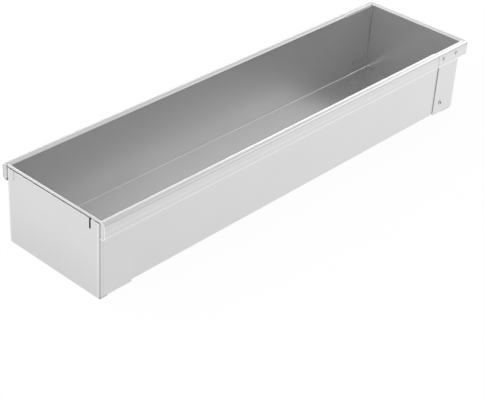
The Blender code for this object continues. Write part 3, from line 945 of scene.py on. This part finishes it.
def grown(name, mesh, tree, values, end_round=0.0):
    """An object whose mesh comes from a geometry tree with these input values.

    Where end_round is given, its sharp edges are rounded by that much.
    """
    item = bpy.data.objects.new(name, mesh)
    bpy.context.scene.collection.objects.link(item)
    modifier = item.modifiers.new(tree.name, "NODES")
    modifier.node_group = tree
    for socket in tree.interface.items_tree:
        if socket.in_out == "INPUT" and socket.name in values:
            modifier[socket.identifier] = values[socket.name]
    if end_round > 0:
        soft = item.modifiers.new("rounded ends", "BEVEL")
        soft.width = end_round
        soft.segments = ROUND_STEPS
        soft.limit_method = "ANGLE"
        soft.angle_limit = SHARP_ANGLE
    mesh_of(item, name)
    steady_shading(item, name)
    return item


def make_bars(material):
    """A bar in each long rim, and one across in the rim of the fixed end."""
    low_z = RIM_BOTTOM + SHEET + BAR_FIT
    high_z = RIM_TOP - SHEET - BAR_FIT
    middle_z = (low_z + high_z) / 2
    inner_y = BAR_INNER_Y
    outer_y = RIM_OUTER_Y - SHEET - BAR_FIT
    middle_y = (inner_y + outer_y) / 2
    inner_x = CAVITY_END + SHEET + LAP_GAP
    outer_x = CAVITY_END + END_RIM_REACH - SHEET - BAR_FIT
    middle_x = (inner_x + outer_x) / 2
    edge_radius = RIM_FOLD - SHEET / 2 - BAR_FIT
    tree = bar_tree()
    bars = []
    for name, start, end, depth in (
            ("near_flat_bar", (RIM_START, -middle_y, middle_z),
             (WALL_CORNER_X, -middle_y, middle_z), outer_y - inner_y),
            ("far_flat_bar", (RIM_START, middle_y, middle_z),
             (WALL_CORNER_X, middle_y, middle_z), outer_y - inner_y),
            ("end_flat_bar", (middle_x, -WALL_CORNER_Y, middle_z),
             (middle_x, WALL_CORNER_Y, middle_z), outer_x - inner_x)):
        bars.append(grown(name, bpy.data.meshes.new(name), tree, {
            "Start": start, "End": end, "Depth": depth, "Height": high_z - low_z,
            "Edge Radius": edge_radius, "Steel": material}, BAR_END_ROUND))
    return bars


def rivet_shape(name, head_radius, grip, tail_radius, tail_height):
    """One rivet: a domed head and a shank, and on a flap rivet also a bore and a tail."""
    line = []
    rim_angle = 0.0
    if tail_height > 0:
        bore = head_radius * RIVET_BORE_SHARE
        line = [(0, -RIVET_BORE_DEPTH), (bore, -RIVET_BORE_DEPTH)]
        rim_angle = math.asin(RIVET_BORE_SHARE * RIVET_BORE_FLARE)
    for step in range(FOLD_STEPS + 1):
        angle = rim_angle + (math.pi / 2 - rim_angle) * step / FOLD_STEPS
        line.append((head_radius * math.sin(angle), RIVET_HEAD_HEIGHT * math.cos(angle)))
    line += [(RIVET_SHANK_RADIUS, 0), (RIVET_SHANK_RADIUS, -grip)]
    if tail_height > 0:
        line += [(tail_radius, -grip), (tail_radius, -grip - tail_height)]
    line.append((0, -grip - tail_height))
    bm = bmesh.new()
    verts = [bm.verts.new((radius, 0, height)) for radius, height in line]
    edges = [bm.edges.new(pair) for pair in zip(verts, verts[1:])]
    bmesh.ops.spin(bm, geom=verts + edges, cent=(0, 0, 0), axis=(0, 0, 1), angle=math.tau,
                   steps=RIVET_STEPS, use_merge=True)
    bmesh.ops.remove_doubles(bm, verts=bm.verts, dist=MERGE)
    bmesh.ops.recalc_face_normals(bm, faces=bm.faces)
    return item_from(name, bm)


def make_rivets(name, places, shape, tree, material):
    """All rivets of one kind as one piece."""
    mesh = bpy.data.meshes.new(name)
    mesh.from_pydata([seat for seat, _ in places], [], [])
    facing = mesh.attributes.new("facing", "FLOAT_VECTOR", "POINT")
    for value, (_, way) in zip(facing.data, places):
        value.vector = way
    return grown(name, mesh, tree, {"Rivet": shape, "Seed": RIVET_SEED, "Steel": material})


# Studio

def make_camera():
    """Camera at the photo's angle, a little rolled."""
    back = Vector((math.sin(CAMERA_AZIMUTH) * math.cos(CAMERA_HEIGHT_ANGLE),
                   -math.cos(CAMERA_AZIMUTH) * math.cos(CAMERA_HEIGHT_ANGLE),
                   math.sin(CAMERA_HEIGHT_ANGLE)))
    level_right = (-back).cross(Vector((0, 0, 1))).normalized()
    level_up = level_right.cross(-back)
    right = level_right * math.cos(CAMERA_ROLL) + level_up * math.sin(CAMERA_ROLL)
    up = level_up * math.cos(CAMERA_ROLL) - level_right * math.sin(CAMERA_ROLL)
    data = bpy.data.cameras.new("photo camera")
    data.lens = CAMERA_LENS
    data.sensor_width = CAMERA_SENSOR
    data.clip_end = CAMERA_REACH
    camera = bpy.data.objects.new("photo camera", data)
    turn = Matrix((right, up, back)).transposed().to_4x4()
    camera.matrix_world = Matrix.Translation(CAMERA_PLACE) @ turn
    bpy.context.scene.collection.objects.link(camera)
    bpy.context.scene.camera = camera


def seen_share(recipe):
    """One for camera, glossy and transmission rays, and nothing for the rest."""
    path = recipe.add("ShaderNodeLightPath").outputs
    seen = recipe.math("MAXIMUM", path["Is Camera Ray"], path["Is Glossy Ray"])
    return recipe.math("MAXIMUM", seen, path["Is Transmission Ray"])


def make_floor():
    """White paper that stays white to the camera and is mirrored a little darker by the pan."""
    bm = bmesh.new()
    bmesh.ops.create_circle(bm, cap_ends=True, segments=FLOOR_SIDES, radius=FLOOR_RADIUS)
    floor = item_from("studio_floor", bm)
    floor.location.z = -FLOOR_DROP
    material = bpy.data.materials.new("white studio floor")
    material.use_nodes = True
    tree = material.node_tree
    tree.nodes.clear()
    recipe = Recipe(tree)
    place = recipe.add("ShaderNodeTexCoord").outputs["Object"]
    paper = recipe.spread(recipe.noise(place, *PAPER_PATTERN), *NOISE_RANGE, *PAPER_TONES)
    lit = recipe.add("ShaderNodeBsdfDiffuse", Color=paper)
    bright = recipe.add("ShaderNodeBsdfDiffuse", Color=grey(MIRRORED_PAPER_TONE))
    along = recipe.add("ShaderNodeSeparateXYZ", Vector=place).outputs["X"]
    beside = recipe.spread(along, *FLOOR_PLACES, FLOOR_LEFT, FLOOR_RIGHT)
    before_cap = recipe.spread(along, *CAP_FLOOR_PLACES, 0.0, CAP_FLOOR_GAIN)
    mirrored = recipe.math("MINIMUM", 1.0, recipe.math("ADD", beside, before_cap))
    camera_ray = recipe.add("ShaderNodeLightPath").outputs["Is Camera Ray"]
    glow = recipe.add("ShaderNodeEmission", Color=grey(1.0),
                      Strength=recipe.math("MAXIMUM", mirrored, camera_ray))
    pale = recipe.mixed(MIRRORED_GLOW_SHARE, bright, glow)
    both = recipe.mixed(seen_share(recipe), lit, pale)
    out = recipe.add("ShaderNodeOutputMaterial")
    recipe.put(out, "Surface", both.outputs["Shader"])
    floor.data.materials.append(material)


def make_world():
    """White to the camera, with a surround of uneven brightness for the metal to mirror."""
    world = bpy.data.worlds.new("studio surround")
    bpy.context.scene.world = world
    world.use_nodes = True
    tree = world.node_tree
    tree.nodes.clear()
    recipe = Recipe(tree)
    direction = recipe.add("ShaderNodeTexCoord").outputs["Generated"]
    way = recipe.add("ShaderNodeSeparateXYZ", Vector=direction).outputs
    height = recipe.spread(way["Z"], *SKY_HEIGHTS, 0.0, 1.0)
    front = recipe.spread(way["X"], *SKY_SIDES, SKY_FRONT_LEFT, SKY_FRONT_RIGHT)
    back = recipe.spread(way["X"], *SKY_SIDES, SKY_BACK_LEFT, SKY_BACK_RIGHT)
    ceiling = recipe.spread(way["Y"], *SKY_SIDES, front, back)
    level = recipe.spread(height, 0.0, 1.0, SKY_HORIZON, ceiling)
    camera_ray = recipe.add("ShaderNodeLightPath").outputs["Is Camera Ray"]
    soft = recipe.add("ShaderNodeBackground", Color=grey(SKY_SOFT), Strength=1.0)
    white = recipe.add("ShaderNodeBackground", Color=grey(1.0),
                       Strength=recipe.math("MAXIMUM", level, camera_ray))
    both = recipe.mixed(seen_share(recipe), soft, white)
    out = recipe.add("ShaderNodeOutputWorld")
    recipe.put(out, "Surface", both.outputs["Shader"])


def add_softbox(name, place, width, height, power):
    """A rectangular lamp that faces the middle of the pan."""
    data = bpy.data.lights.new(name, "AREA")
    data.shape = "RECTANGLE"
    data.size = width
    data.size_y = height
    data.energy = power
    lamp = bpy.data.objects.new(name, data)
    lamp.location = place
    lamp.rotation_mode = "QUATERNION"
    lamp.rotation_quaternion = (Vector((0, 0, 0)) - Vector(place)).to_track_quat("-Z", "Y")
    bpy.context.scene.collection.objects.link(lamp)


# Assembly

def seat(item, body, slot, *nodes):
    """Give a finished piece its body and hide the nodes that it stands for. The slot is not used.
    """
    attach(item, body)
    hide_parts(*nodes)


def main():
    corner_end = CAP_CORNER_Y + CAP_CORNER_FOLD * math.pi / 2
    # Painted highlight and shade at the cap's corner folds and at the start of its flaps
    cap_fold_painted_light = (lines_from(CAP_CORNER_Y, CORNER_SHINE, CREASE_SHADE)
                 + lines_from(corner_end, FLAP_SHADE))
    # Painted highlight and shade in level lines along the foot of the rim
    rim_painted_light = lines_from(RIM_BOTTOM, RIM_EDGE_SHINE, RIM_LOW_SHADE, RIM_RIDGE_SHINE,
                          RIM_HIGH_SHADE)
    body_steel = satin_sheet("satin steel sheet", level_light_lines=rim_painted_light)
    end_steel = satin_sheet("satin steel end sheet")
    cap_steel = satin_sheet("creased steel cap sheet", cap_fold_painted_light)
    bar_steel = plain_metal("plain bar steel", *BAR_FINISH)
    rivet_steel = plain_metal("rivet steel", *RIVET_FINISH)
    flap_holes, rim_holes = rivet_hole_cutters()
    trough = make_trough(body_steel, flap_holes)
    end_wall = make_end_wall(body_steel, flap_holes + rim_holes)
    end_cap = make_end_cap(cap_steel)
    end_plate = make_end_plate(end_steel)
    bars = make_bars(bar_steel)
    remove_items(flap_holes + rim_holes)

    flap_grip = LAP_OUTER_Y + 2 * LAP_GAP - WALL_INNER_Y
    rim_grip = RIM_OUTER_Y + LAP_GAP - BAR_OUTER_Y + RIM_RIVET_BITE
    flap_shape = rivet_shape("flap rivet shape", FLAP_RIVET_HEAD_RADIUS, flap_grip,
                             RIVET_TAIL_RADIUS, RIVET_TAIL_HEIGHT)
    rim_shape = rivet_shape("rim rivet shape", RIM_RIVET_HEAD_RADIUS, rim_grip, 0, 0)
    tree = rivet_tree()
    flap_rivets = make_rivets("flap_rivets", flap_rivet_places(), flap_shape, tree, rivet_steel)
    rim_rivets = make_rivets("rim_rivets", rim_rivet_places(), rim_shape, tree, rivet_steel)
    remove_items([flap_shape, rim_shape])

    seat(trough, "pan_body", "satin steel sheet", "trough")
    seat(end_wall, "pan_body", "satin steel sheet", "end_wall")
    seat(end_cap, "cap", "satin steel end sheet", "end_cap")
    seat(end_plate, "plate", "satin steel end sheet", "end_plate")
    for bar, node in zip(bars, ("near_rim_bar", "far_rim_bar", "end_rim_bar")):
        seat(bar, "pan_body", "plain bar steel", node)
    seat(flap_rivets, "pan_body", "rivet steel", "near_flap_rivet", "far_flap_rivet")
    seat(rim_rivets, "pan_body", "rivet steel", "near_rim_rivet_1", "near_rim_rivet_2",
         "far_rim_rivet_1", "far_rim_rivet_2")

    make_floor()
    make_world()
    for name, softbox in SOFTBOXES.items():
        add_softbox(name, *softbox)
    make_camera()
    bpy.context.scene.view_settings.view_transform = "Standard"


main()
